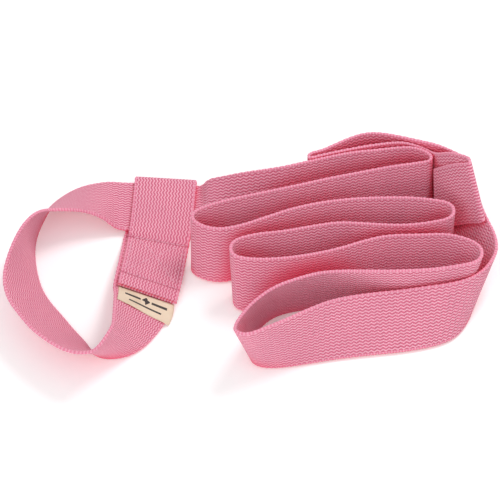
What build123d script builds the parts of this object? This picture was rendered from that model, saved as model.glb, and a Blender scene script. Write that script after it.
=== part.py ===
"""Stretching strap: one length of flat webbing with a sewn sleeve, laid in upright folds.

All lengths are in millimetres. X runs along the folds, Y to the back, Z up from the floor.
The strap's end is folded back on itself and sewn into a sleeve. The strap passes through that
sleeve and makes a noose, then goes back and forth in a zigzag of runs standing on one edge.

The webbing follows a list of stations. Each station is one ruling across the webbing:
(x, y, lift, lean_x, lean_y). x and y are the lower edge, lift is its height above the floor, and
lean is how far the other edge stands away in plan. The width fixes how high that edge is.
Both edges are smooth curves through the middles of the steps between stations.
"""
import os
from math import atan2, degrees, hypot, sqrt

from build123d import Box, Compound, Polyline, Pos, Rot, Solid, Vector
from build123d import export_step, extrude, make_face

# Driving dimensions
STRAP_WIDTH = 38.0
STRAP_THICKNESS = 2.0
LAYER_GAP = 0.3            # clear space between layers that slide on one another
SEWN_STEP = 2.25           # height from one sewn layer to the next
PEEK = 3.0                 # how far the under layer shows past the top layer's left edge
LABEL_THICKNESS = 0.3
THREAD_WIDTH = 0.7
THREAD_HEIGHT = 0.3
THREAD_CLEARANCE = 0.03    # from the webbing to the thread lying on it
STITCH_LENGTH = 2.4
STITCH_PITCH = 3.2
CUT_GAP = 0.4              # clear space where the noose changes from sleeve to strap
NOOSE_CUT = (-137.0, -11.0)  # point on that upright cut, in plan
SLIDE_WAY = (49.0, -2.9)   # way the sleeve slides, along the strap in the slot
PLAN_CENTRE = (0.36, 72.6)  # middle of the layout, which becomes the origin
SECTIONS_PER_STATION = 4
LABEL_SECTIONS = 8
CUT_BLOCK = 600.0          # side of the block that makes the cut, larger than the part

UNDER = 0.0
SLOT = STRAP_THICKNESS + LAYER_GAP
OVER_SLOT = 2 * SLOT
OVER_TUCK = SEWN_STEP + LABEL_THICKNESS + 0.1

# The two sewn layers share these stations, from the hem towards the slot
SEAM = [
    (-44.5, 47.5, 0.0, -36.0, 5.7),
    (-42.5, 58.0, 0.0, -36.1, 8.3),
    (-40.5, 70.0, 0.0, -36.2, 10.3),
    (-38.2, 86.0, 0.0, -36.7, 10.0),
    (-37.4, 91.5, 0.0, -36.9, 9.2),
]


def lifted(station, height):
    """The same ruling, raised."""
    x, y, lift, lean_x, lean_y = station
    return x, y, lift + height, lean_x, lean_y


def slid(station, distance):
    """The same ruling, moved along its own direction."""
    x, y, lift, lean_x, lean_y = station
    part = distance / STRAP_WIDTH
    rise = sqrt(max(0.0, STRAP_WIDTH ** 2 - lean_x ** 2 - lean_y ** 2))
    return x + lean_x * part, y + lean_y * part, lift + rise * part, lean_x, lean_y


# Sleeve and noose, from the hem to the slot
NOOSE_ROUTE = {
    "sleeve_top_layer": [
        (-44.5, 47.5, OVER_TUCK, -35.6, 5.6),
        lifted(SEAM[1], OVER_TUCK),
        lifted(SEAM[2], SEWN_STEP),
        lifted(SEAM[3], SEWN_STEP),
        lifted(SEAM[4], SEWN_STEP),
        (-36.0, 99.0, OVER_SLOT, -37.8, 4.2),
        (-34.7, 113.0, OVER_SLOT, -37.8, 4.0),
        (-33.4, 130.0, OVER_SLOT, -37.9, 3.4),
    ],
    "sleeve_fold": [
        (-32.6, 144.3, OVER_SLOT, -37.9, 3.0),
        (-32.6, 144.3, UNDER, -37.9, 3.0),
    ],
    "sleeve_under_layer": [
        (-33.3, 132.0, UNDER, -37.9, 3.6),
        (-36.4, 111.0, UNDER, -37.5, 6.2),
        slid(SEAM[4], PEEK),
    ],
    "sleeve_under_hem": [
        slid(SEAM[3], PEEK),
        slid(SEAM[2], PEEK),
        slid(SEAM[1], PEEK),
        slid(SEAM[0], PEEK),
    ],
    "noose_near_bend": [
        (-48.8, 40.0, 0.0, -33.5, 4.5),
        (-52.5, 32.0, 0.0, -29.8, 1.5),
        (-58.5, 22.5, 0.0, -23.8, -2.0),
        (-65.0, 14.5, 0.0, -17.5, -5.5),
    ],
    "noose_front_arc": [
        (-75.0, 8.0, 0.0, -8.0, -6.0),
        (-87.0, 6.5, 0.0, -3.0, -17.0),
        (-95.5, 11.0, 0.0, -1.0, -24.4),
        (-99.0, 18.0, 0.0, -13.0, -26.0),
    ],
    "noose_left_front": [
        (-106.5, 28.0, 0.0, -24.0, -19.0),
        (-114.0, 39.5, 0.0, -25.5, -17.0),
        (-121.5, 50.0, 0.0, -25.5, -15.5),
        (-127.0, 61.0, 0.0, -23.0, -13.0),
    ],
    "noose_left_rear": [
        (-130.5, 76.0, 0.0, -15.5, -12.0),
        (-132.0, 92.0, 0.0, -7.5, -12.0),
        (-130.5, 104.0, 0.0, -2.5, -14.0),
    ],
    "noose_far_band": [
        (-127.0, 115.0, 0.0, -0.5, -19.0),
        (-122.5, 126.0, 0.0, 0.0, -25.5),
        (-113.0, 136.0, 0.0, 5.0, -30.5),
        (-103.0, 142.0, 0.5, 4.0, -34.0),
        (-92.0, 144.2, 1.4, 2.0, -36.5),
        (-86.0, 144.3, SLOT, 0.8, -37.7),
    ],
    "strap_in_slot": [
        (-80.0, 143.8, SLOT, 0.0, -38.0),
        (-68.0, 143.1, SLOT, 0.0, -38.0),
        (-50.0, 142.0, SLOT, 0.0, -38.0),
        (-33.2, 141.0, SLOT, 0.0, -38.0),
    ],
}

# Zigzag, from the slot to the free end. Here the edge that was lower becomes the upper one.
FOLDED_ROUTE = {
    "run_a": [
        (-28.9, 103.0, SLOT, 0.0, 38.0),
        (-25.2, 102.7, 1.6, 0.0, 36.8),
        (-18.0, 102.3, 0.8, 0.0, 34.8),
        (-7.0, 104.0, 0.2, 0.0, 30.0),
        (7.0, 108.0, 0.0, 0.0, 23.5),
        (19.0, 113.0, 0.0, 0.0, 17.5),
        (31.0, 119.0, 0.0, 0.0, 13.5),
        (49.0, 124.7, 0.0, 0.0, 13.0),
        (63.0, 128.3, 0.0, 0.0, 13.0),
        (78.0, 130.0, 0.0, 0.0, 13.0),
    ],
    "fold_r1": [
        (92.0, 132.2, 0.0, 0.0, 13.0),
        (101.5, 132.0, 0.0, 0.0, 13.0),
        (110.6, 126.8, 0.0, 0.0, 13.0),
        (110.6, 121.3, 0.0, 0.0, 13.0),
        (102.0, 119.5, 0.0, 0.0, 13.0),
        (86.0, 116.8, 0.0, 0.0, 13.0),
    ],
    "run_b": [
        (67.0, 112.0, 0.0, 0.0, 13.0),
        (49.0, 107.6, 0.0, 0.0, 13.0),
        (30.0, 102.0, 0.0, 0.0, 13.0),
        (12.0, 97.0, 0.0, 0.0, 13.0),
        (-6.0, 92.3, 0.0, 0.0, 13.0),
    ],
    "fold_l1": [
        (-22.0, 87.3, 0.0, 0.0, 13.0),
        (-35.0, 81.0, 0.0, 0.0, 13.0),
        (-35.0, 73.0, 0.0, 0.0, 13.0),
        (-22.0, 66.5, 0.0, 0.0, 13.0),
    ],
    "run_c": [
        (-7.0, 69.0, 0.0, 0.0, 13.0),
        (10.0, 76.5, 0.0, 0.0, 13.0),
        (30.0, 85.0, 0.0, 0.0, 13.0),
        (58.0, 91.0, 0.0, 0.0, 13.0),
    ],
    "fold_r2": [
        (92.0, 92.3, 0.0, 0.0, 13.0),
        (108.0, 90.8, 0.0, 1.0, 13.0),
        (121.0, 87.5, 0.0, 2.8, 13.0),
        (121.0, 76.0, 0.0, 2.8, 13.0),
        (107.0, 71.8, 0.0, 1.0, 13.0),
        (93.0, 69.8, 0.0, 0.0, 13.0),
    ],
    "run_d": [
        (75.0, 70.8, 0.0, 0.0, 13.0),
        (55.0, 72.6, 0.0, 0.0, 13.0),
        (38.0, 69.3, 0.0, 0.0, 13.0),
        (20.0, 65.0, 0.0, 0.0, 13.0),
    ],
    "fold_l2": [
        (4.0, 63.3, 0.0, 0.0, 13.0),
        (-9.5, 58.0, 0.0, -2.2, 13.0),
        (-9.5, 46.0, 0.0, -2.2, 13.0),
        (2.0, 43.0, 0.0, 0.0, 13.0),
    ],
    "run_e": [
        (18.0, 45.2, 0.0, 0.0, 10.8),
        (36.0, 50.0, 0.0, 0.0, 8.3),
        (54.0, 54.0, 0.0, 0.0, 9.5),
        (70.0, 58.0, 0.0, 0.0, 13.0),
    ],
    "fold_r3": [
        (84.0, 62.0, 0.0, 0.0, 13.0),
        (100.0, 62.5, 0.0, 4.0, 13.0),
        (114.0, 64.0, 0.0, 8.0, 13.0),
        (129.6, 56.5, 0.0, 11.0, 13.0),
        (129.6, 43.0, 0.0, 11.0, 13.0),
        (116.0, 38.5, 0.0, 8.0, 12.5),
        (104.0, 36.5, 0.0, 4.0, 11.0),
    ],
    "run_e2": [
        (88.0, 38.5, 0.0, 0.0, 7.0),
        (72.0, 43.0, 0.0, 0.0, 2.0),
        (56.0, 47.2, 0.0, 0.0, -2.2),
        (42.0, 47.0, 0.0, 0.0, -3.2),
    ],
    "fold_l3_rear": [
        (28.0, 45.0, 0.0, 0.0, -6.0),
        (16.0, 41.2, 0.0, -2.0, -8.4),
        (7.0, 33.5, 0.0, -6.0, -12.0),
        (1.8, 22.0, 0.0, -8.0, -11.5),
    ],
    "fold_l3_front": [
        (0.0, 13.0, 0.0, -9.0, -9.0),
        (1.5, 4.0, 0.0, -11.0, -5.0),
        (7.0, 0.5, 0.0, -9.0, -5.0),
        (15.0, 0.0, 0.0, -4.0, 1.5),
    ],
    "run_f": [
        (24.0, 1.0, 0.0, -2.5, 6.5),
        (34.0, 2.7, 0.0, 0.0, 13.5),
        (48.0, 5.5, 0.0, 0.0, 21.5),
        (62.0, 7.8, 0.0, 0.0, 25.0),
        (77.0, 9.7, 0.0, 0.0, 27.5),
        (92.0, 11.6, 0.0, 0.0, 28.5),
    ],
    "fold_r4": [
        (105.0, 14.4, 0.0, 1.0, 27.0),
        (115.0, 17.5, 0.0, 6.0, 26.5),
        (123.0, 22.0, 0.0, 9.0, 26.0),
        (129.0, 30.0, 0.0, 12.5, 25.5),
        (133.0, 40.0, 0.0, 14.3, 23.5),
        (134.8, 48.5, 0.0, 15.0, 21.5),
    ],
    "wrap_right": [
        (134.0, 57.0, 0.0, 15.7, 21.0),
        (131.0, 65.0, 0.0, 17.0, 20.5),
        (128.0, 72.0, 0.0, 17.3, 20.5),
        (125.8, 80.0, 0.0, 16.5, 20.0),
        (123.7, 89.0, 0.0, 16.0, 20.0),
        (122.2, 98.5, 0.0, 15.5, 19.0),
        (121.2, 108.0, 0.0, 15.0, 17.5),
    ],
    "wrap_corner": [
        (120.8, 118.0, 0.0, 13.5, 15.0),
        (119.0, 127.0, 0.0, 11.5, 11.5),
        (114.0, 134.5, 0.0, 9.0, 7.5),
        (106.0, 140.0, 0.0, 8.0, 6.5),
    ],
    "run_g": [
        (98.0, 141.5, 0.0, 5.0, 8.0),
        (89.0, 142.0, 0.0, 1.0, 12.0),
        (80.0, 142.0, 0.0, -1.0, 15.5),
        (71.0, 141.0, 0.0, -1.0, 16.5),
        (62.0, 138.0, 0.0, -1.0, 15.5),
    ],
    "fold_l5": [
        (52.0, 133.5, 0.0, -1.0, 13.5),
        (44.0, 130.0, 0.0, 0.0, 12.5),
        (36.0, 127.7, 0.0, 0.0, 12.5),
        (36.0, 123.7, 0.0, 0.0, 12.5),
        (44.0, 126.5, 0.0, 0.0, 12.5),
    ],
    "back_leg": [
        (58.0, 129.9, 0.0, 0.0, 13.0),
        (72.0, 132.9, 0.0, 0.0, 13.5),
        (86.0, 135.3, 0.0, -1.0, 13.5),
        (97.0, 136.6, 0.0, -4.0, 12.5),
    ],
    "rising_leg": [
        (106.0, 135.5, 0.0, -6.5, 12.0),
        (114.0, 130.0, 0.0, -7.5, 15.5),
        (118.0, 121.5, 2.5, -7.0, 21.0),
        (122.0, 115.5, 8.0, -7.5, 22.0),
    ],
    "fold_r5": [
        (129.5, 107.5, 18.0, -8.5, 25.0),
        (136.8, 99.5, 25.0, -9.0, 27.0),
        (142.2, 94.3, 28.2, -9.0, 28.3),
        (142.2, 89.3, 28.4, -9.0, 28.3),
        (134.0, 96.5, 20.0, -8.5, 26.5),
    ],
    "end_run": [
        (124.2, 102.7, 10.0, -6.0, 25.0),
        (113.5, 108.0, 0.5, -1.0, 24.5),
    ],
}


# Label, in places along the webbing and shares of its width. Height is off the strap's face.
LABEL_PLACES = (15.64, 17.35)
LABEL_EDGES_SEWN = (-0.03, 0.917)
LABEL_EDGES_FREE = (-0.03, 0.95)
LABEL_HEIGHTS = (LAYER_GAP, LAYER_GAP + LABEL_THICKNESS)
TUCK_PLACES = (15.1, 15.5)
TUCK_HEIGHTS = (0.05, 0.05 + LABEL_THICKNESS)
LABEL_RULE_PLACES = (16.3, 16.38)
LABEL_RULES = ((0.12, 0.36), (0.52, 0.76))
LABEL_LOZENGE_PLACES = (16.15, 16.5)
LABEL_LOZENGE = (0.4, 0.48)
MARK_HEIGHTS = (LABEL_HEIGHTS[1] + 0.02, LABEL_HEIGHTS[1] + 0.12)

# Places where the flat resting layer and the two sides of the cut noose start and stop
FLOOR_LAYER = (9, 12)
NOOSE_SLEEVE_SIDE = (24, 30)
NOOSE_STRAP_SIDE = (26, 31)

# Rows of stitching on the top layer, from one (place, share of width) to another
SEAM_ROWS = {
    "hem_stitch": [((0.52, 0.06), (0.52, 0.94))],
    "sleeve_box_stitch": [
        ((0.75, 0.08), (3.25, 0.08)),
        ((0.75, 0.92), (3.25, 0.92)),
        ((0.85, 0.14), (3.15, 0.86)),
        ((0.85, 0.86), (1.9, 0.55)),
        ((2.1, 0.45), (3.15, 0.14)),
    ],
    "sleeve_bar_stitch": [((3.5, 0.06), (3.5, 0.94))],
}


def ruling(station):
    """Lower and upper edge points of one station, standing on the thickness of its lower edge."""
    x, y, lift, lean_x, lean_y = station
    lean = min(hypot(lean_x, lean_y), STRAP_WIDTH)
    stand = lift + 0.5 * STRAP_THICKNESS * lean / STRAP_WIDTH
    rise = sqrt(STRAP_WIDTH ** 2 - lean ** 2)
    lower = Vector(x - PLAN_CENTRE[0], y - PLAN_CENTRE[1], stand)
    return lower, lower + Vector(lean_x, lean_y, rise)


def all_rulings():
    """Every ruling in order along the strap, and the span of each named piece of webbing."""
    rulings = []
    spans = {}
    for name, stations in NOOSE_ROUTE.items():
        spans[name] = (len(rulings), len(rulings) + len(stations))
        rulings += [ruling(station) for station in stations]
    for name, stations in FOLDED_ROUTE.items():
        spans[name] = (len(rulings), len(rulings) + len(stations))
        rulings += [ruling(station)[::-1] for station in stations]
    return rulings, spans


RULINGS, SPANS = all_rulings()
LAST = len(RULINGS) - 1


def on_curve(points, place):
    """Point and direction on a smooth curve; whole places are halfway between two stations."""
    index = min(int(place), LAST - 2)
    step = place - index
    middle = points[index + 1]
    start = points[0] if index == 0 else (points[index] + middle) * 0.5
    end = points[LAST] if index == LAST - 2 else (middle + points[index + 2]) * 0.5
    point = start * (1 - step) ** 2 + middle * (2 * step * (1 - step)) + end * step ** 2
    direction = (middle - start) * (1 - step) + (end - middle) * step
    return point, direction


FIRST_EDGE = [pair[0] for pair in RULINGS]
SECOND_EDGE = [pair[1] for pair in RULINGS]


def cross_section(place):
    """Both edges of the webbing at a place, and the unit normal of its face."""
    first, first_way = on_curve(FIRST_EDGE, place)
    second, second_way = on_curve(SECOND_EDGE, place)
    normal = (first_way + second_way).cross(second - first).normalized()
    return first, second, normal


def surface_point(place, across, height):
    """Point at a place along the webbing and a share of its width, off its middle surface."""
    first, second, normal = cross_section(place)
    return first + (second - first) * across + normal * height


def loft(sections):
    """Ruled solid through a list of four-cornered sections."""
    return Solid.make_loft([Polyline(*corners, close=True).wire() for corners in sections], ruled=True)


def strip(places, edges_at_start, edges_at_stop, low, high, sections):
    """Solid strip of the webbing between two places, from low to high off its middle surface."""
    start, stop = places
    faces = []
    for number in range(sections + 1):
        share = number / sections
        place = start + (stop - start) * share
        left, right = (a + (b - a) * share for a, b in zip(edges_at_start, edges_at_stop))
        faces.append([surface_point(place, left, low), surface_point(place, right, low),
                      surface_point(place, right, high), surface_point(place, left, high)])
    return loft(faces)


def webbing_between(start, stop):
    """Full width of the webbing between two whole places."""
    half = STRAP_THICKNESS / 2
    return strip((start, stop), (0, 1), (0, 1), -half, half, SECTIONS_PER_STATION * (stop - start))


def webbing(name):
    """One named span of the webbing, from halfway before its first station to halfway after."""
    first, after = SPANS[name]
    return webbing_between(max(first - 1, 0), min(after - 1, LAST - 1))


def flat_webbing(start, stop):
    """Webbing lying flat on the floor between two whole places, with plane faces to rest on."""
    count = SECTIONS_PER_STATION * (stop - start)
    sections = [cross_section(start + (stop - start) * n / count) for n in range(count + 1)]
    outline = [section[0] for section in sections] + [section[1] for section in reversed(sections)]
    floor_face = make_face(Polyline(*[Vector(p.X, p.Y, 0) for p in outline], close=True))
    return extrude(floor_face, amount=STRAP_THICKNESS, dir=(0, 0, 1))


def half_space(side, point):
    """Large block on one side of the upright cut that runs along the sleeve's slide."""
    turn = degrees(atan2(SLIDE_WAY[1], SLIDE_WAY[0]))
    block = Pos(0, side * (CUT_BLOCK + CUT_GAP) / 2, 0) * Box(CUT_BLOCK, CUT_BLOCK, CUT_BLOCK)
    return Pos(*point) * Rot(0, 0, turn) * block


def stitch(start, stop):
    """One stitch lying on the top layer between two (place, across) points."""
    base = STRAP_THICKNESS / 2 + THREAD_CLEARANCE
    start_low, stop_low = surface_point(*start, base), surface_point(*stop, base)
    sections = []
    for place, across in (start, stop):
        low = surface_point(place, across, base)
        normal = cross_section(place)[2]
        side = (stop_low - start_low).cross(normal).normalized() * (THREAD_WIDTH / 2)
        high = normal * THREAD_HEIGHT
        sections.append([low - side, low + side, low + side + high, low - side + high])
    return loft(sections)


def seam(start, stop):
    """Row of stitches along a straight line between two (place, across) points."""
    length = (surface_point(*stop, 0) - surface_point(*start, 0)).length
    count = max(1, int((length + STITCH_PITCH - STITCH_LENGTH) / STITCH_PITCH))
    stitches = []
    for number in range(count):
        shares = (number * STITCH_PITCH / length, (number * STITCH_PITCH + STITCH_LENGTH) / length)
        ends = [tuple(a + (b - a) * share for a, b in zip(start, stop)) for share in shares]
        stitches.append(stitch(*ends))
    return stitches


def save(name, shape):
    """Writes one named piece and prints its volume and bounding box."""
    export_step(shape, f"parts/{name}.step")
    box = shape.bounding_box()
    print(name, round(shape.volume, 1), [round(v, 2) for v in (*box.min, *box.max)])


def label_strip(places, edges_at_start, edges_at_stop, low, high):
    """Thin strip lying over the strap's upper side where it leaves the hem."""
    top = -STRAP_THICKNESS / 2
    return strip(places, edges_at_start, edges_at_stop, top - high, top - low, LABEL_SECTIONS)


def label_motif():
    """Plain motif: one thin rule on each side of a small lozenge."""
    low, high = MARK_HEIGHTS
    rules = [label_strip(LABEL_RULE_PLACES, edges, edges, low, high) for edges in LABEL_RULES]
    return rules + [label_strip(LABEL_LOZENGE_PLACES, LABEL_LOZENGE, LABEL_LOZENGE, low, high)]


if __name__ == "__main__":
    os.makedirs("parts", exist_ok=True)
    built_apart = {
        "sleeve_under_layer": flat_webbing(*FLOOR_LAYER),
        "noose_left_front": webbing_between(*NOOSE_SLEEVE_SIDE) & half_space(-1, NOOSE_CUT),
        "noose_left_rear": webbing_between(*NOOSE_STRAP_SIDE) & half_space(1, NOOSE_CUT),
    }
    for name in SPANS:
        save(name, built_apart[name] if name in built_apart else webbing(name))

    save("label_tuck", label_strip(TUCK_PLACES, LABEL_EDGES_SEWN, LABEL_EDGES_SEWN, *TUCK_HEIGHTS))
    save("label", label_strip(LABEL_PLACES, LABEL_EDGES_SEWN, LABEL_EDGES_FREE, *LABEL_HEIGHTS))
    save("label_mark", Compound(children=label_motif()))

    for name, rows in SEAM_ROWS.items():
        save(name, Compound(children=[one for row in rows for one in seam(*row)]))
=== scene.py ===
"""Looks of the stretching strap: woven webbing in upright folds, sewn sleeve, small woven label."""
from math import cos, hypot, pi, radians, sin, sqrt

import bpy
import numpy as np
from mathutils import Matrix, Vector


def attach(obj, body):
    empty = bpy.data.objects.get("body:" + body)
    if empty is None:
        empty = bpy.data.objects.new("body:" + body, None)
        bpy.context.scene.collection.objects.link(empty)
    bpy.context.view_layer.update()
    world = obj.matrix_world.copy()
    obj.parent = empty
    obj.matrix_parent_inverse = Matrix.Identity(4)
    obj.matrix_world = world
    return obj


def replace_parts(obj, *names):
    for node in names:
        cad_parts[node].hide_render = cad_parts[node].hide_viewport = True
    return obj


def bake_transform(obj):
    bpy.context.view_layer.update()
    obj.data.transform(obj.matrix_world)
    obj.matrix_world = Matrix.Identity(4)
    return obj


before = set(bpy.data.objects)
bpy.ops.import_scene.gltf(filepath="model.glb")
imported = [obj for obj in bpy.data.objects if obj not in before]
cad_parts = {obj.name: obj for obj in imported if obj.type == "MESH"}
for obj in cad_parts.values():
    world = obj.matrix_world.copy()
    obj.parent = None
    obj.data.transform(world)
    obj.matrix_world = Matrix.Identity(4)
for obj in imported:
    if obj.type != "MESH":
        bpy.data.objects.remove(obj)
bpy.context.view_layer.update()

MM = 0.001
STRAP_WIDTH = 38.0
STRAP_THICKNESS = 2.0
LAYER_GAP = 0.3
SEWN_STEP = 2.25
PEEK = 3.0
LABEL_THICKNESS = 0.3
PLAN_CENTRE = (0.36, 72.6)
WAVE_LENGTH = 0.00365      # one zigzag of the weave, along the strap
ROW_PITCH = 0.00190        # one row of the weave, across the strap
SELVEDGE = 0.0013          # width of the corded edge
UNDER = 0.0
SLOT = STRAP_THICKNESS + LAYER_GAP
OVER_SLOT = 2 * SLOT
OVER_TUCK = SEWN_STEP + LABEL_THICKNESS + 0.1

# ---------------------------------------------------------------- camera
VIEW_ELEVATION = 50.0
CAMERA_DISTANCE = 6.0
VIEW_WIDTH = 0.3049
LOOK_AT = Vector((-0.00036, 0.0202, 0.0))

camera_data = bpy.data.cameras.new("camera")
camera_data.sensor_width = 36.0
camera_data.lens = 36.0 * CAMERA_DISTANCE / VIEW_WIDTH
camera_data.clip_end = 30.0
camera = bpy.data.objects.new("camera", camera_data)
bpy.context.scene.collection.objects.link(camera)
away = Vector((0.0, -cos(radians(VIEW_ELEVATION)), sin(radians(VIEW_ELEVATION))))
camera.location = LOOK_AT + away * CAMERA_DISTANCE
camera.rotation_euler = (-away).to_track_quat("-Z", "Y").to_euler()
bpy.context.scene.camera = camera


# ---------------------------------------------------------------- route of the webbing, in mm
# The two sewn layers share these stations, from the hem towards the slot
SEAM = [
    (-44.5, 47.5, 0.0, -36.0, 5.7),
    (-42.5, 58.0, 0.0, -36.1, 8.3),
    (-40.5, 70.0, 0.0, -36.2, 10.3),
    (-38.2, 86.0, 0.0, -36.7, 10.0),
    (-37.4, 91.5, 0.0, -36.9, 9.2),
]


def lifted(station, height):
    """The same ruling, raised."""
    x, y, lift, lean_x, lean_y = station
    return x, y, lift + height, lean_x, lean_y


def slid(station, distance):
    """The same ruling, moved along its own direction."""
    x, y, lift, lean_x, lean_y = station
    part = distance / STRAP_WIDTH
    rise = sqrt(max(0.0, STRAP_WIDTH ** 2 - lean_x ** 2 - lean_y ** 2))
    return x + lean_x * part, y + lean_y * part, lift + rise * part, lean_x, lean_y


# Sleeve and noose, from the hem to the slot
NOOSE_ROUTE = {
    "sleeve_top_layer": [
        (-44.5, 47.5, OVER_TUCK, -35.6, 5.6),
        lifted(SEAM[1], OVER_TUCK),
        lifted(SEAM[2], SEWN_STEP),
        lifted(SEAM[3], SEWN_STEP),
        lifted(SEAM[4], SEWN_STEP),
        (-36.0, 99.0, OVER_SLOT, -37.8, 4.2),
        (-34.7, 113.0, OVER_SLOT, -37.8, 4.0),
        (-33.4, 130.0, OVER_SLOT, -37.9, 3.4),
    ],
    "sleeve_fold": [
        (-32.6, 144.3, OVER_SLOT, -37.9, 3.0),
        (-32.6, 144.3, UNDER, -37.9, 3.0),
    ],
    "sleeve_under_layer": [
        (-33.3, 132.0, UNDER, -37.9, 3.6),
        (-36.4, 111.0, UNDER, -37.5, 6.2),
        slid(SEAM[4], PEEK),
    ],
    "sleeve_under_hem": [
        slid(SEAM[3], PEEK),
        slid(SEAM[2], PEEK),
        slid(SEAM[1], PEEK),
        slid(SEAM[0], PEEK),
    ],
    "noose_near_bend": [
        (-48.8, 40.0, 0.0, -33.5, 4.5),
        (-52.5, 32.0, 0.0, -29.8, 1.5),
        (-58.5, 22.5, 0.0, -23.8, -2.0),
        (-65.0, 14.5, 0.0, -17.5, -5.5),
    ],
    "noose_front_arc": [
        (-75.0, 8.0, 0.0, -8.0, -6.0),
        (-87.0, 6.5, 0.0, -3.0, -17.0),
        (-95.5, 11.0, 0.0, -1.0, -24.4),
        (-99.0, 18.0, 0.0, -13.0, -26.0),
    ],
    "noose_left_front": [
        (-106.5, 28.0, 0.0, -24.0, -19.0),
        (-114.0, 39.5, 0.0, -25.5, -17.0),
        (-121.5, 50.0, 0.0, -25.5, -15.5),
        (-127.0, 61.0, 0.0, -23.0, -13.0),
    ],
    "noose_left_rear": [
        (-130.5, 76.0, 0.0, -15.5, -12.0),
        (-132.0, 92.0, 0.0, -7.5, -12.0),
        (-130.5, 104.0, 0.0, -2.5, -14.0),
    ],
    "noose_far_band": [
        (-127.0, 115.0, 0.0, -0.5, -19.0),
        (-122.5, 126.0, 0.0, 0.0, -25.5),
        (-113.0, 136.0, 0.0, 5.0, -30.5),
        (-103.0, 142.0, 0.5, 4.0, -34.0),
        (-92.0, 144.2, 1.4, 2.0, -36.5),
        (-86.0, 144.3, SLOT, 0.8, -37.7),
    ],
    "strap_in_slot": [
        (-80.0, 143.8, SLOT, 0.0, -38.0),
        (-68.0, 143.1, SLOT, 0.0, -38.0),
        (-50.0, 142.0, SLOT, 0.0, -38.0),
        (-33.2, 141.0, SLOT, 0.0, -38.0),
    ],
}

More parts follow.
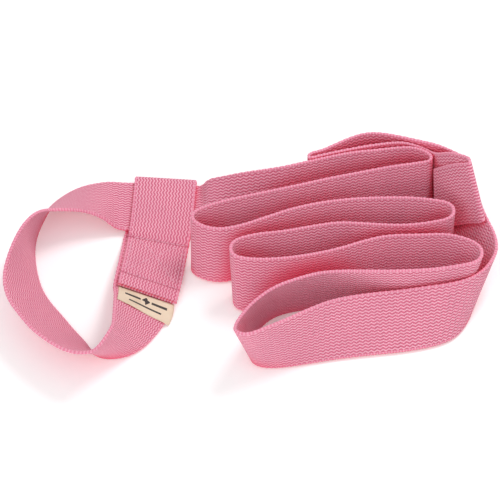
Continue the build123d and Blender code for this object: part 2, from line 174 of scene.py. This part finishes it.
# Zigzag, from the slot to the free end. Here the edge that was lower becomes the upper one.
FOLDED_ROUTE = {
    "run_a": [
        (-28.9, 103.0, SLOT, 0.0, 38.0),
        (-25.2, 102.7, 1.6, 0.0, 36.8),
        (-18.0, 102.3, 0.8, 0.0, 34.8),
        (-7.0, 104.0, 0.2, 0.0, 30.0),
        (7.0, 108.0, 0.0, 0.0, 23.5),
        (19.0, 113.0, 0.0, 0.0, 17.5),
        (31.0, 119.0, 0.0, 0.0, 13.5),
        (49.0, 124.7, 0.0, 0.0, 13.0),
        (63.0, 128.3, 0.0, 0.0, 13.0),
        (78.0, 130.0, 0.0, 0.0, 13.0),
    ],
    "fold_r1": [
        (92.0, 132.2, 0.0, 0.0, 13.0),
        (101.5, 132.0, 0.0, 0.0, 13.0),
        (110.6, 126.8, 0.0, 0.0, 13.0),
        (110.6, 121.3, 0.0, 0.0, 13.0),
        (102.0, 119.5, 0.0, 0.0, 13.0),
        (86.0, 116.8, 0.0, 0.0, 13.0),
    ],
    "run_b": [
        (67.0, 112.0, 0.0, 0.0, 13.0),
        (49.0, 107.6, 0.0, 0.0, 13.0),
        (30.0, 102.0, 0.0, 0.0, 13.0),
        (12.0, 97.0, 0.0, 0.0, 13.0),
        (-6.0, 92.3, 0.0, 0.0, 13.0),
    ],
    "fold_l1": [
        (-22.0, 87.3, 0.0, 0.0, 13.0),
        (-35.0, 81.0, 0.0, 0.0, 13.0),
        (-35.0, 73.0, 0.0, 0.0, 13.0),
        (-22.0, 66.5, 0.0, 0.0, 13.0),
    ],
    "run_c": [
        (-7.0, 69.0, 0.0, 0.0, 13.0),
        (10.0, 76.5, 0.0, 0.0, 13.0),
        (30.0, 85.0, 0.0, 0.0, 13.0),
        (58.0, 91.0, 0.0, 0.0, 13.0),
    ],
    "fold_r2": [
        (92.0, 92.3, 0.0, 0.0, 13.0),
        (108.0, 90.8, 0.0, 1.0, 13.0),
        (121.0, 87.5, 0.0, 2.8, 13.0),
        (121.0, 76.0, 0.0, 2.8, 13.0),
        (107.0, 71.8, 0.0, 1.0, 13.0),
        (93.0, 69.8, 0.0, 0.0, 13.0),
    ],
    "run_d": [
        (75.0, 70.8, 0.0, 0.0, 13.0),
        (55.0, 72.6, 0.0, 0.0, 13.0),
        (38.0, 69.3, 0.0, 0.0, 13.0),
        (20.0, 65.0, 0.0, 0.0, 13.0),
    ],
    "fold_l2": [
        (4.0, 63.3, 0.0, 0.0, 13.0),
        (-9.5, 58.0, 0.0, -2.2, 13.0),
        (-9.5, 46.0, 0.0, -2.2, 13.0),
        (2.0, 43.0, 0.0, 0.0, 13.0),
    ],
    "run_e": [
        (18.0, 45.2, 0.0, 0.0, 10.8),
        (36.0, 50.0, 0.0, 0.0, 8.3),
        (54.0, 54.0, 0.0, 0.0, 9.5),
        (70.0, 58.0, 0.0, 0.0, 13.0),
    ],
    "fold_r3": [
        (84.0, 62.0, 0.0, 0.0, 13.0),
        (100.0, 62.5, 0.0, 4.0, 13.0),
        (114.0, 64.0, 0.0, 8.0, 13.0),
        (129.6, 56.5, 0.0, 11.0, 13.0),
        (129.6, 43.0, 0.0, 11.0, 13.0),
        (116.0, 38.5, 0.0, 8.0, 12.5),
        (104.0, 36.5, 0.0, 4.0, 11.0),
    ],
    "run_e2": [
        (88.0, 38.5, 0.0, 0.0, 7.0),
        (72.0, 43.0, 0.0, 0.0, 2.0),
        (56.0, 47.2, 0.0, 0.0, -2.2),
        (42.0, 47.0, 0.0, 0.0, -3.2),
    ],
    "fold_l3_rear": [
        (28.0, 45.0, 0.0, 0.0, -6.0),
        (16.0, 41.2, 0.0, -2.0, -8.4),
        (7.0, 33.5, 0.0, -6.0, -12.0),
        (1.8, 22.0, 0.0, -8.0, -11.5),
    ],
    "fold_l3_front": [
        (0.0, 13.0, 0.0, -9.0, -9.0),
        (1.5, 4.0, 0.0, -11.0, -5.0),
        (7.0, 0.5, 0.0, -9.0, -5.0),
        (15.0, 0.0, 0.0, -4.0, 1.5),
    ],
    "run_f": [
        (24.0, 1.0, 0.0, -2.5, 6.5),
        (34.0, 2.7, 0.0, 0.0, 13.5),
        (48.0, 5.5, 0.0, 0.0, 21.5),
        (62.0, 7.8, 0.0, 0.0, 25.0),
        (77.0, 9.7, 0.0, 0.0, 27.5),
        (92.0, 11.6, 0.0, 0.0, 28.5),
    ],
    "fold_r4": [
        (105.0, 14.4, 0.0, 1.0, 27.0),
        (115.0, 17.5, 0.0, 6.0, 26.5),
        (123.0, 22.0, 0.0, 9.0, 26.0),
        (129.0, 30.0, 0.0, 12.5, 25.5),
        (133.0, 40.0, 0.0, 14.3, 23.5),
        (134.8, 48.5, 0.0, 15.0, 21.5),
    ],
    "wrap_right": [
        (134.0, 57.0, 0.0, 15.7, 21.0),
        (131.0, 65.0, 0.0, 17.0, 20.5),
        (128.0, 72.0, 0.0, 17.3, 20.5),
        (125.8, 80.0, 0.0, 16.5, 20.0),
        (123.7, 89.0, 0.0, 16.0, 20.0),
        (122.2, 98.5, 0.0, 15.5, 19.0),
        (121.2, 108.0, 0.0, 15.0, 17.5),
    ],
    "wrap_corner": [
        (120.8, 118.0, 0.0, 13.5, 15.0),
        (119.0, 127.0, 0.0, 11.5, 11.5),
        (114.0, 134.5, 0.0, 9.0, 7.5),
        (106.0, 140.0, 0.0, 8.0, 6.5),
    ],
    "run_g": [
        (98.0, 141.5, 0.0, 5.0, 8.0),
        (89.0, 142.0, 0.0, 1.0, 12.0),
        (80.0, 142.0, 0.0, -1.0, 15.5),
        (71.0, 141.0, 0.0, -1.0, 16.5),
        (62.0, 138.0, 0.0, -1.0, 15.5),
    ],
    "fold_l5": [
        (52.0, 133.5, 0.0, -1.0, 13.5),
        (44.0, 130.0, 0.0, 0.0, 12.5),
        (36.0, 127.7, 0.0, 0.0, 12.5),
        (36.0, 123.7, 0.0, 0.0, 12.5),
        (44.0, 126.5, 0.0, 0.0, 12.5),
    ],
    "back_leg": [
        (58.0, 129.9, 0.0, 0.0, 13.0),
        (72.0, 132.9, 0.0, 0.0, 13.5),
        (86.0, 135.3, 0.0, -1.0, 13.5),
        (97.0, 136.6, 0.0, -4.0, 12.5),
    ],
    "rising_leg": [
        (106.0, 135.5, 0.0, -6.5, 12.0),
        (114.0, 130.0, 0.0, -7.5, 15.5),
        (118.0, 121.5, 2.5, -7.0, 21.0),
        (122.0, 115.5, 8.0, -7.5, 22.0),
    ],
    "fold_r5": [
        (129.5, 107.5, 18.0, -8.5, 25.0),
        (136.8, 99.5, 25.0, -9.0, 27.0),
        (142.2, 94.3, 28.2, -9.0, 28.3),
        (142.2, 89.3, 28.4, -9.0, 28.3),
        (134.0, 96.5, 20.0, -8.5, 26.5),
    ],
    "end_run": [
        (124.2, 102.7, 10.0, -6.0, 25.0),
        (113.5, 108.0, 0.5, -1.0, 24.5),
    ],
}


def ruling(station):
    """Lower and upper edge points of one station, standing on the thickness of its lower edge."""
    x, y, lift, lean_x, lean_y = station
    lean = min(hypot(lean_x, lean_y), STRAP_WIDTH)
    stand = lift + 0.5 * STRAP_THICKNESS * lean / STRAP_WIDTH
    rise = sqrt(STRAP_WIDTH ** 2 - lean ** 2)
    lower = Vector((x - PLAN_CENTRE[0], y - PLAN_CENTRE[1], stand))
    return lower, lower + Vector((lean_x, lean_y, rise))


def all_rulings():
    """Every ruling in order along the strap, the sewn end first."""
    rulings = [ruling(station) for stations in NOOSE_ROUTE.values() for station in stations]
    folded = [ruling(station)[::-1] for stations in FOLDED_ROUTE.values() for station in stations]
    return rulings + folded


def edge_line(name, points):
    """Points in metres along the smooth NURBS line that one edge of the webbing follows."""
    curve = bpy.data.curves.new(name, "CURVE")
    curve.dimensions = "3D"
    curve.resolution_u = 24
    spline = curve.splines.new("NURBS")
    spline.points.add(len(points) - 1)
    for control, point in zip(spline.points, points):
        control.co = (*(point * MM), 1.0)
    spline.order_u = 3
    spline.use_endpoint_u = True
    holder = bpy.data.objects.new(name, curve)
    bpy.context.scene.collection.objects.link(holder)
    bpy.context.view_layer.update()
    mesh = bpy.data.meshes.new_from_object(holder)
    line = np.array([vertex.co for vertex in mesh.vertices])
    bpy.data.objects.remove(holder)
    bpy.data.meshes.remove(mesh)
    return line


RULINGS = all_rulings()
SPANS = len(RULINGS) - 2
FIRST_LINE = edge_line("first_edge", [pair[0] for pair in RULINGS])
SECOND_LINE = edge_line("second_edge", [pair[1] for pair in RULINGS])
PLACES = np.linspace(0.0, SPANS, len(FIRST_LINE))
CENTRE_LINE = (FIRST_LINE + SECOND_LINE) / 2
RUN = np.concatenate([[0.0], np.cumsum(np.linalg.norm(np.diff(CENTRE_LINE, axis=0), axis=1))])


def unit(vectors):
    return vectors / np.linalg.norm(vectors, axis=-1, keepdims=True)


WAY = unit(np.gradient(CENTRE_LINE, axis=0))
NORMALS = unit(np.cross(WAY, SECOND_LINE - FIRST_LINE))


def at(places, values):
    """Values along the strap, read at the given places."""
    if values.ndim == 1:
        return np.interp(places, PLACES, values)
    return np.stack([np.interp(places, PLACES, column) for column in values.T], axis=1)


def surface(places, across, height):
    """Points of the webbing: place along, share of the width, height off its middle, in metres."""
    first, second, normal = at(places, FIRST_LINE), at(places, SECOND_LINE), unit(at(places, NORMALS))
    across = np.asarray(across, float).reshape(-1, 1)
    height = np.asarray(height, float).reshape(-1, 1)
    return first + (second - first) * across + normal * height


def even_places(start, stop, step):
    """Places between two others, an even length apart along the strap."""
    first, last = np.interp([start, stop], PLACES, RUN)
    count = max(2, int(round((last - first) / step)) + 1)
    return np.interp(np.linspace(first, last, count), RUN, PLACES)


def mesh_object(name, vertices, faces, uv=None, smooth=True):
    mesh = bpy.data.meshes.new(name)
    mesh.from_pydata([tuple(map(float, v)) for v in vertices], [], [tuple(map(int, f)) for f in faces])
    if uv is not None:
        layer = mesh.uv_layers.new(name="weave")
        corners = np.zeros(len(mesh.loops), int)
        mesh.loops.foreach_get("vertex_index", corners)
        layer.data.foreach_set("uv", np.asarray(uv, float)[corners].astype(np.float32).ravel())
    mesh.polygons.foreach_set("use_smooth", [smooth] * len(mesh.polygons))
    mesh.update()
    piece = bpy.data.objects.new(name, mesh)
    bpy.context.scene.collection.objects.link(piece)
    return piece


def ring_faces(rings, around, cap_start, cap_stop):
    """Quads joining closed rings of points, with flat caps where asked."""
    ring = np.arange(rings - 1)[:, None] * around
    spot = np.arange(around)[None, :]
    after = (spot + 1) % around
    quads = np.stack([ring + spot, ring + after, ring + around + after, ring + around + spot], axis=-1)
    faces = quads.reshape(-1, 4).tolist()
    half = around // 2
    last = (rings - 1) * around
    for base, wanted in ((0, cap_start), (last, cap_stop)):
        if wanted:
            faces += [[base + i, base + i + 1, base + around - 2 - i, base + around - 1 - i]
                      for i in range(half - 1)]
    return faces


# ---------------------------------------------------------------- materials
class Graph:
    """Small helper for a material's node graph."""

    def __init__(self, name):
        self.material = bpy.data.materials.new(name)
        self.material.use_nodes = True
        self.nodes = self.material.node_tree.nodes
        self.links = self.material.node_tree.links
        self.shader = self.nodes["Principled BSDF"]

    def put(self, socket, value):
        if isinstance(value, bpy.types.NodeSocket):
            self.links.new(value, socket)
        else:
            socket.default_value = value

    def math(self, operation, *values):
        node = self.nodes.new("ShaderNodeMath")
        node.operation = operation
        for socket, value in zip(node.inputs, values):
            self.put(socket, value)
        return node.outputs[0]

    def wave(self, value):
        """Cosine wave from 0 to 1, one cycle for each whole number of value."""
        turned = self.math("COSINE", self.math("MULTIPLY", value, 2 * pi))
        return self.math("MULTIPLY_ADD", turned, 0.5, 0.5)

    def noise(self, vector, scale, detail=2.0):
        node = self.nodes.new("ShaderNodeTexNoise")
        self.links.new(vector, node.inputs["Vector"])
        node.inputs["Scale"].default_value = scale
        node.inputs["Detail"].default_value = detail
        return node.outputs["Fac"]

    def between(self, value, low, high):
        node = self.nodes.new("ShaderNodeMapRange")
        node.interpolation_type = "SMOOTHSTEP"
        for socket, number in zip(node.inputs, (value, low, high, 0.0, 1.0)):
            self.put(socket, number)
        return node.outputs[0]

    def mix(self, share, first, second):
        node = self.nodes.new("ShaderNodeMix")
        node.data_type = "RGBA"
        self.put(node.inputs["Factor"], share)
        for name, value in (("A", first), ("B", second)):
            socket = next(s for s in node.inputs if s.name == name and s.type == "RGBA")
            self.put(socket, value if isinstance(value, bpy.types.NodeSocket) else (*value, 1.0))
        return next(s for s in node.outputs if s.type == "RGBA")

    def bump(self, height, distance, strength=1.0):
        node = self.nodes.new("ShaderNodeBump")
        node.inputs["Strength"].default_value = strength
        node.inputs["Distance"].default_value = distance
        self.links.new(height, node.inputs["Height"])
        self.links.new(node.outputs["Normal"], self.shader.inputs["Normal"])


# Weave colours: the darkest is painted shade for the grooves and pressed lines, the palest is painted
# highlight for the yarn crests
PAINTED_SHADE_PINK = (0.50, 0.055, 0.125)
MID_PINK = (0.80, 0.185, 0.300)
CREST_HIGHLIGHT_PINK = (0.93, 0.50, 0.61)
# Painted shade colour: deep crimson for the hollows inside the folds
FOLD_SHADE_PINK = (0.93, 0.025, 0.105)
SEAM_PLACES = (0.52, 3.5)  # rows of stitching that press a line into the sleeve
CREAM = (0.80, 0.66, 0.49)
CREAM_SHADE = (0.56, 0.40, 0.26)
INK = (0.035, 0.028, 0.028)


def webbing_material():
    """Zigzag rows of yarn with painted highlight on the crests and painted shade in the grooves, and a
    beaded selvedge.
    """
    g = Graph("webbing")
    uv = g.nodes.new("ShaderNodeUVMap")
    uv.uv_map = "weave"
    split = g.nodes.new("ShaderNodeSeparateXYZ")
    g.links.new(uv.outputs["UV"], split.inputs[0])
    along, across = split.outputs[0], split.outputs[1]
    place = g.nodes.new("ShaderNodeTexCoord").outputs["Object"]
    wobble = g.math("MULTIPLY_ADD", g.noise(place, 140.0), 0.5, -0.25)
    step = g.math("ADD", g.math("DIVIDE", along, WAVE_LENGTH), g.math("MULTIPLY", wobble, 0.7))
    row = g.math("DIVIDE", across, ROW_PITCH)
    zigzag = g.math("PINGPONG", step, 0.5)
    phase = g.math("ADD", g.math("MULTIPLY_ADD", zigzag, 1.05, row), wobble)
    ridge = g.wave(phase)
    strand = g.wave(g.math("MULTIPLY_ADD", row, 0.5, g.math("MULTIPLY", step, 4.0)))
    broken = g.math("MULTIPLY_ADD", strand, 0.6, 0.4)
    crest_highlight = g.math("MULTIPLY", g.between(ridge, 0.42, 0.95), broken)
    groove_shade = g.between(ridge, 0.34, 0.04)
    crest_glint = g.wave(g.math("MULTIPLY", step, 2.0))
    middle = STRAP_WIDTH * MM / 2
    from_middle = g.math("ABSOLUTE", g.math("SUBTRACT", across, middle))
    selvedge = g.between(from_middle, middle - SELVEDGE - 0.0003, middle - SELVEDGE + 0.0002)
    bead = g.wave(g.math("MULTIPLY", step, 2.0))
    fuzz = g.noise(place, 2600.0, 3.0)
    patch = g.noise(place, 38.0, 3.0)
    # Painted highlight on the yarn crests, painted shade in the grooves between them
    tone = g.mix(crest_highlight, MID_PINK, CREST_HIGHLIGHT_PINK)
    tone = g.mix(g.math("MULTIPLY", groove_shade, 0.5), tone, PAINTED_SHADE_PINK)
    # Painted highlight: bright specks on the crests
    tone = g.mix(g.math("MULTIPLY", g.math("MULTIPLY", crest_glint, crest_highlight), 0.35), tone, (0.98, 0.72, 0.79))
    # Painted highlight on the selvedge beads, painted shade in the gaps between them
    bead_light_and_shade = g.mix(bead, (0.80, 0.21, 0.33), (0.90, 0.38, 0.50))
    tone = g.mix(selvedge, tone, bead_light_and_shade)
    tone = g.mix(g.math("MULTIPLY", g.between(patch, 0.35, 0.75), 0.22), tone, (0.66, 0.20, 0.31))
    tone = g.mix(g.math("MULTIPLY", g.between(fuzz, 0.45, 0.8), 0.22), tone, (0.96, 0.70, 0.77))
    for seam_place in SEAM_PLACES:
        seam_run = float(np.interp(seam_place, PLACES, RUN))
        off_seam = g.math("ABSOLUTE", g.math("SUBTRACT", along, seam_run))
        # Painted shade: a darker line along each row of stitching, where it presses the webbing in
        tone = g.mix(g.math("MULTIPLY", g.between(off_seam, 0.0011, 0.0003), 0.6), tone, PAINTED_SHADE_PINK)
    # Painted shade: where ambient occlusion finds the webbing closed in by nearby folds, the colour is
    # pushed towards deep crimson
    shade = g.nodes.new("ShaderNodeAmbientOcclusion")
    shade.inputs["Distance"].default_value = 0.022
    fold_shade_share = g.between(shade.outputs["AO"], 0.80, 0.25)
    tone = g.mix(g.math("MULTIPLY", fold_shade_share, 0.66), tone, FOLD_SHADE_PINK)
    g.put(g.shader.inputs["Base Color"], tone)
    g.shader.inputs["Roughness"].default_value = 0.86
    g.shader.inputs["Specular IOR Level"].default_value = 0.25
    g.shader.inputs["Sheen Weight"].default_value = 0.22
    g.shader.inputs["Sheen Roughness"].default_value = 0.45
    g.shader.inputs["Sheen Tint"].default_value = (1.0, 0.80, 0.86, 1.0)
    weave = g.math("MULTIPLY_ADD", strand, 0.22, g.math("POWER", ridge, 0.7))
    weave = g.math("MULTIPLY_ADD", fuzz, 0.25, weave)
    beads = g.math("MULTIPLY_ADD", fuzz, 0.25, g.math("MULTIPLY_ADD", bead, 0.8, 0.3))
    blend = g.nodes.new("ShaderNodeMix")
    g.put(blend.inputs["Factor"], selvedge)
    g.put(blend.inputs[2], weave)
    g.put(blend.inputs[3], beads)
    g.bump(blend.outputs[0], 0.00042)
    return g.material


def thread_material():
    g = Graph("thread")
    place = g.nodes.new("ShaderNodeTexCoord").outputs["Object"]
    twist = g.noise(place, 1800.0, 2.0)
    g.put(g.shader.inputs["Base Color"], g.mix(twist, (0.62, 0.17, 0.28), (0.94, 0.55, 0.66)))
    g.shader.inputs["Roughness"].default_value = 0.7
    g.bump(twist, 0.00012)
    return g.material


def label_material():
    """Woven tape: fine cross threads, slightly darker and worn in random patches."""
    g = Graph("label_tape")
    uv = g.nodes.new("ShaderNodeUVMap")
    uv.uv_map = "weave"
    split = g.nodes.new("ShaderNodeSeparateXYZ")
    g.links.new(uv.outputs["UV"], split.inputs[0])
    warp = g.wave(g.math("DIVIDE", split.outputs[1], 0.00035))
    weft = g.wave(g.math("DIVIDE", split.outputs[0], 0.00042))
    place = g.nodes.new("ShaderNodeTexCoord").outputs["Object"]
    stain = g.noise(place, 90.0, 3.0)
    thread_crossings = g.math("MULTIPLY", warp, weft)
    tone = g.mix(g.math("MULTIPLY", g.between(stain, 0.4, 0.8), 0.5), CREAM, CREAM_SHADE)
    # Painted highlight: the thread crossings are lighter
    tone = g.mix(g.math("MULTIPLY", thread_crossings, 0.25), tone, (0.92, 0.82, 0.66))
    g.put(g.shader.inputs["Base Color"], tone)
    g.shader.inputs["Roughness"].default_value = 0.6
    g.bump(thread_crossings, 0.00008)
    return g.material


def ink_material():
    g = Graph("label_print")
    place = g.nodes.new("ShaderNodeTexCoord").outputs["Object"]
    worn = g.between(g.noise(place, 2200.0, 3.0), 0.5, 0.8)
    g.put(g.shader.inputs["Base Color"], g.mix(g.math("MULTIPLY", worn, 0.5), INK, (0.20, 0.15, 0.12)))
    g.shader.inputs["Roughness"].default_value = 0.7
    return g.material


WEBBING = webbing_material()
THREAD = thread_material()
LABEL_TAPE = label_material()
LABEL_PRINT = ink_material()


# ---------------------------------------------------------------- webbing
STEPS_PER_WAVE = 4         # mesh sections along one zigzag of the weave
EDGE_SHARE = 0.93          # how far from the middle the corded edge begins, as a share
SCALLOP = 0.00016          # how far the corded edge waves in and out
EDGE_SWELL = 0.03          # how much thicker the corded edge gets, as a share
PINCH_DEPTH = 0.25         # how much a row of stitching thins the webbing, as a share
PINCH_WIDTH = 0.09         # half width of that line, in places


def profile():
    """Cross-section of the webbing: (distance across, half thickness), in metres."""
    edge = [(0.0, 0.0), (0.1, 0.5), (0.4, 0.92), (0.75, 1.04), (1.1, 0.98), (1.35, 0.9), (1.9, 0.98)]
    body = [(d, 1.0) for d in np.linspace(4.0, STRAP_WIDTH - 4.0, 21)]
    other = [(STRAP_WIDTH - d, h) for d, h in edge[::-1]]
    return np.array(edge + body + other) * MM


def webbing(name, start, stop, cap_start=False, cap_stop=False):
    """Mesh of the webbing between two places, with a scalloped cord along each edge."""
    shape = profile()
    distance = np.concatenate([shape[:, 0], shape[-2:0:-1, 0]])
    height = np.concatenate([shape[:, 1], -shape[-2:0:-1, 1]])
    places = even_places(start, stop, WAVE_LENGTH / STEPS_PER_WAVE)
    run = at(places, RUN)
    width = STRAP_WIDTH * MM
    off_middle = distance / width * 2 - 1
    at_edge = np.clip((np.abs(off_middle) - EDGE_SHARE) / (1 - EDGE_SHARE), 0, 1)
    scallop = SCALLOP * np.cos(2 * pi * run / WAVE_LENGTH)
    vertices, uv = [], []
    for place, length, swell in zip(places, run, scallop):
        count = len(distance)
        share = distance / width + np.sign(off_middle) * at_edge * swell / width
        pinch = sum(PINCH_DEPTH * np.exp(-((place - row) / PINCH_WIDTH) ** 2) for row in SEAM_PLACES)
        tall = height * (1 + at_edge * np.sign(swell) * EDGE_SWELL - pinch)
        vertices.append(surface(np.full(count, place), share, tall))
        uv.append(np.stack([np.full(count, length), distance], axis=1))
    faces = ring_faces(len(places), len(distance), cap_start, cap_stop)
    piece = mesh_object(name, np.concatenate(vertices), faces, np.concatenate(uv))
    piece.data.materials.append(WEBBING)
    return piece


HEM, NOOSE_START, SLOT_START, TAIL = 0, 16, 38, SPANS

sleeve = webbing("sleeve_webbing", HEM, NOOSE_START, cap_start=True)
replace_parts(sleeve, "sleeve_top_layer", "sleeve_fold", "sleeve_under_layer",
            "sleeve_under_hem")
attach(sleeve, "sleeve")

noose = webbing("noose_webbing", NOOSE_START, SLOT_START)
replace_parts(noose, "noose_near_bend", "noose_front_arc", "noose_left_front", "noose_left_rear",
            "noose_far_band")
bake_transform(noose)

folded = webbing("folded_webbing", SLOT_START, TAIL, cap_stop=True)
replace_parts(folded, "strap_in_slot", *FOLDED_ROUTE)
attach(folded, "strap")


# ---------------------------------------------------------------- stitches
STITCH_PITCH = 0.0032
STITCH_LENGTH = 0.0025
THREAD_RADIUS = 0.00036    # across the thread
THREAD_RISE = 0.0002       # half height of the thread
THREAD_LIFT = 0.0001       # how far the middle of a stitch stands off the webbing
STITCH_SIDES = 8


def stitch_row(start, stop):
    """Short rounded stitches along a line between two (place, across) points of the top layer."""
    ends = surface(np.array([start[0], stop[0]]), [start[1], stop[1]], 0.0)
    length = np.linalg.norm(ends[1] - ends[0])
    count = int((length + STITCH_PITCH - STITCH_LENGTH) / STITCH_PITCH)
    return [(number * STITCH_PITCH / length, (number * STITCH_PITCH + STITCH_LENGTH) / length)
            for number in range(count)]


def stitches(name, rows):
    """Mesh of every stitch in the rows: small arched threads that dip into the webbing."""
    vertices, faces, sides = [], [], STITCH_SIDES
    arch = [(0.0, 0.15), (0.12, 0.75), (0.5, 1.0), (0.88, 0.75), (1.0, 0.15)]
    for start, stop in rows:
        for begin, end in stitch_row(start, stop):
            base = len(vertices)
            for share, swell in arch:
                along = begin + (end - begin) * share
                place = start[0] + (stop[0] - start[0]) * along
                across = start[1] + (stop[1] - start[1]) * along
                centre = surface([place], [across], STRAP_THICKNESS / 2 * MM)[0]
                ahead = surface([place + (stop[0] - start[0]) * 0.01],
                                [across + (stop[1] - start[1]) * 0.01], STRAP_THICKNESS / 2 * MM)[0]
                normal = unit(at([place], NORMALS))[0]
                side = unit(np.cross(ahead - centre, normal))
                for spot in range(sides):
                    angle = 2 * pi * spot / sides
                    vertices.append(centre + side * cos(angle) * THREAD_RADIUS * (0.5 + 0.5 * swell)
                                    + normal * (sin(angle) * THREAD_RISE * swell + THREAD_LIFT * swell))
            for ring in range(len(arch) - 1):
                for spot in range(sides):
                    after = (spot + 1) % sides
                    low, high = base + ring * sides, base + (ring + 1) * sides
                    faces.append([low + spot, low + after, high + after, high + spot])
            faces.append([base + spot for spot in range(sides)])
            faces.append([base + (len(arch) - 1) * sides + spot for spot in reversed(range(sides))])
    piece = mesh_object(name, vertices, faces)
    piece.data.materials.append(THREAD)
    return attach(piece, "sleeve")


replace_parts(stitches("hem_stitches", [((0.52, 0.06), (0.52, 0.94))]), "hem_stitch")
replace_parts(stitches("sleeve_box_stitches", [
    ((0.75, 0.08), (3.25, 0.08)),
    ((0.75, 0.92), (3.25, 0.92)),
    ((0.85, 0.14), (3.15, 0.86)),
    ((0.85, 0.86), (1.9, 0.55)),
    ((2.1, 0.45), (3.15, 0.14)),
]), "sleeve_box_stitch")
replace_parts(stitches("sleeve_bar_stitches", [((3.5, 0.06), (3.5, 0.94))]), "sleeve_bar_stitch")


# ---------------------------------------------------------------- label
LABEL_PLACES = (15.64, 17.4)
LABEL_SEWN = (-0.03, 0.917)
LABEL_FREE = (-0.07, 0.955)
LABEL_LIFT = (STRAP_THICKNESS / 2 + LAYER_GAP) * MM
LABEL_SIZE = (0.015, 0.035)  # along the strap and across it
LABEL_RIPPLE = 0.00022


def label_points(along, across, height):
    """Point of the label: share from the hem to its free edge, share of its width, height."""
    place = LABEL_PLACES[0] + (LABEL_PLACES[1] - LABEL_PLACES[0]) * along
    left = LABEL_SEWN[0] + (LABEL_FREE[0] - LABEL_SEWN[0]) * along
    right = LABEL_SEWN[1] + (LABEL_FREE[1] - LABEL_SEWN[1]) * along
    ripple = LABEL_RIPPLE * np.sin(2 * pi * (across * 1.6 + 0.1)) * along ** 2
    return surface(place, left + (right - left) * across, -(LABEL_LIFT + height + ripple))


def label_patch(name, along, across, low, high, material):
    """Thin closed plate on the label between shares along and across it."""
    rows, columns = 14, 30
    a, b = np.meshgrid(np.linspace(*along, rows), np.linspace(*across, columns), indexing="ij")
    sheets = [label_points(a.ravel(), b.ravel(), np.full(a.size, h)) for h in (low, high)]
    index = np.arange(a.size).reshape(rows, columns)
    quads = np.stack([index[:-1, :-1], index[:-1, 1:], index[1:, 1:], index[1:, :-1]], -1).reshape(-1, 4)
    rim = np.concatenate([index[0, :], index[1:, -1], index[-1, -2::-1], index[-2:0:-1, 0]])
    after = np.roll(rim, -1)
    wall = np.stack([rim, after, after + a.size, rim + a.size], axis=1)
    faces = quads[:, ::-1].tolist() + (quads + a.size).tolist() + wall.tolist()
    flat = np.stack([a.ravel() * LABEL_SIZE[0], b.ravel() * LABEL_SIZE[1]], axis=1)
    piece = mesh_object(name, np.concatenate(sheets), faces, np.concatenate([flat, flat]))
    piece.data.materials.append(material)
    return piece


label = label_patch("label_tape", (0.0, 1.0), (0.0, 1.0), 0.0, LABEL_THICKNESS * MM, LABEL_TAPE)
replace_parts(label, "label")
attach(label, "label")

PRINT = (LABEL_THICKNESS * MM - 0.00002, LABEL_THICKNESS * MM + 0.00004)
marks = [
    label_patch("label_rule_right", (0.30, 0.42), (0.12, 0.40), *PRINT, LABEL_PRINT),
    label_patch("label_rule_left", (0.30, 0.42), (0.60, 0.88), *PRINT, LABEL_PRINT),
    label_patch("label_rule_low", (0.66, 0.74), (0.20, 0.80), *PRINT, LABEL_PRINT),
]


def lozenge():
    """Plain lozenge between the two rules."""
    shares = [(0.14, 0.50), (0.36, 0.425), (0.58, 0.50), (0.36, 0.575)]
    points = [label_points(np.array([a]), np.array([b]), np.array([h]))[0]
              for h in PRINT for a, b in shares]
    sides = [[i, (i + 1) % 4, (i + 1) % 4 + 4, i + 4] for i in range(4)]
    piece = mesh_object("label_lozenge", points, [[3, 2, 1, 0], [4, 5, 6, 7]] + sides, smooth=False)
    piece.data.materials.append(LABEL_PRINT)
    return piece


for mark in marks + [lozenge()]:
    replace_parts(mark, "label_mark")
    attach(mark, "label")

# The strip of label inside the hem keeps its CAD shape
tuck_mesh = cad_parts["label_tuck"].data
tuck_mesh.materials.clear()
tuck_mesh.materials.append(LABEL_TAPE)


# ---------------------------------------------------------------- floor and light
floor_graph = Graph("floor")
floor_graph.shader.inputs["Base Color"].default_value = (0.97, 0.97, 0.97, 1.0)
floor_graph.shader.inputs["Emission Color"].default_value = (1.0, 1.0, 1.0, 1.0)
floor_graph.shader.inputs["Emission Strength"].default_value = 0.12
floor_graph.shader.inputs["Roughness"].default_value = 0.9
floor_graph.shader.inputs["Specular IOR Level"].default_value = 0.1
SIDE = 6.0
FLOOR_DROP = 0.0003         # keeps the floor clear of the webbing that lies on it
floor = mesh_object("floor", [(-SIDE, -SIDE, 0), (SIDE, -SIDE, 0), (SIDE, SIDE, 0), (-SIDE, SIDE, 0)],
                    [(0, 1, 2, 3)], smooth=False)
floor.location.z = -FLOOR_DROP
floor.data.materials.append(floor_graph.material)


def area_light(name, location, size, power):
    data = bpy.data.lights.new(name, "AREA")
    data.shape = "DISK"
    data.size = size
    data.energy = power
    lamp = bpy.data.objects.new(name, data)
    lamp.location = location
    lamp.rotation_euler = Vector(location).to_track_quat("Z", "Y").to_euler()
    bpy.context.scene.collection.objects.link(lamp)


area_light("key", (0.7, 0.75, 1.3), 0.7, 11.0)
area_light("front", (-0.4, -1.3, 0.9), 1.4, 8.0)

world = bpy.data.worlds.new("studio")
world.use_nodes = True
background = world.node_tree.nodes["Background"]
background.inputs["Color"].default_value = (1.0, 1.0, 1.0, 1.0)
background.inputs["Strength"].default_value = 0.70
bpy.context.scene.world = world
bpy.context.scene.view_settings.view_transform = "Standard"

bpy.context.view_layer.update()
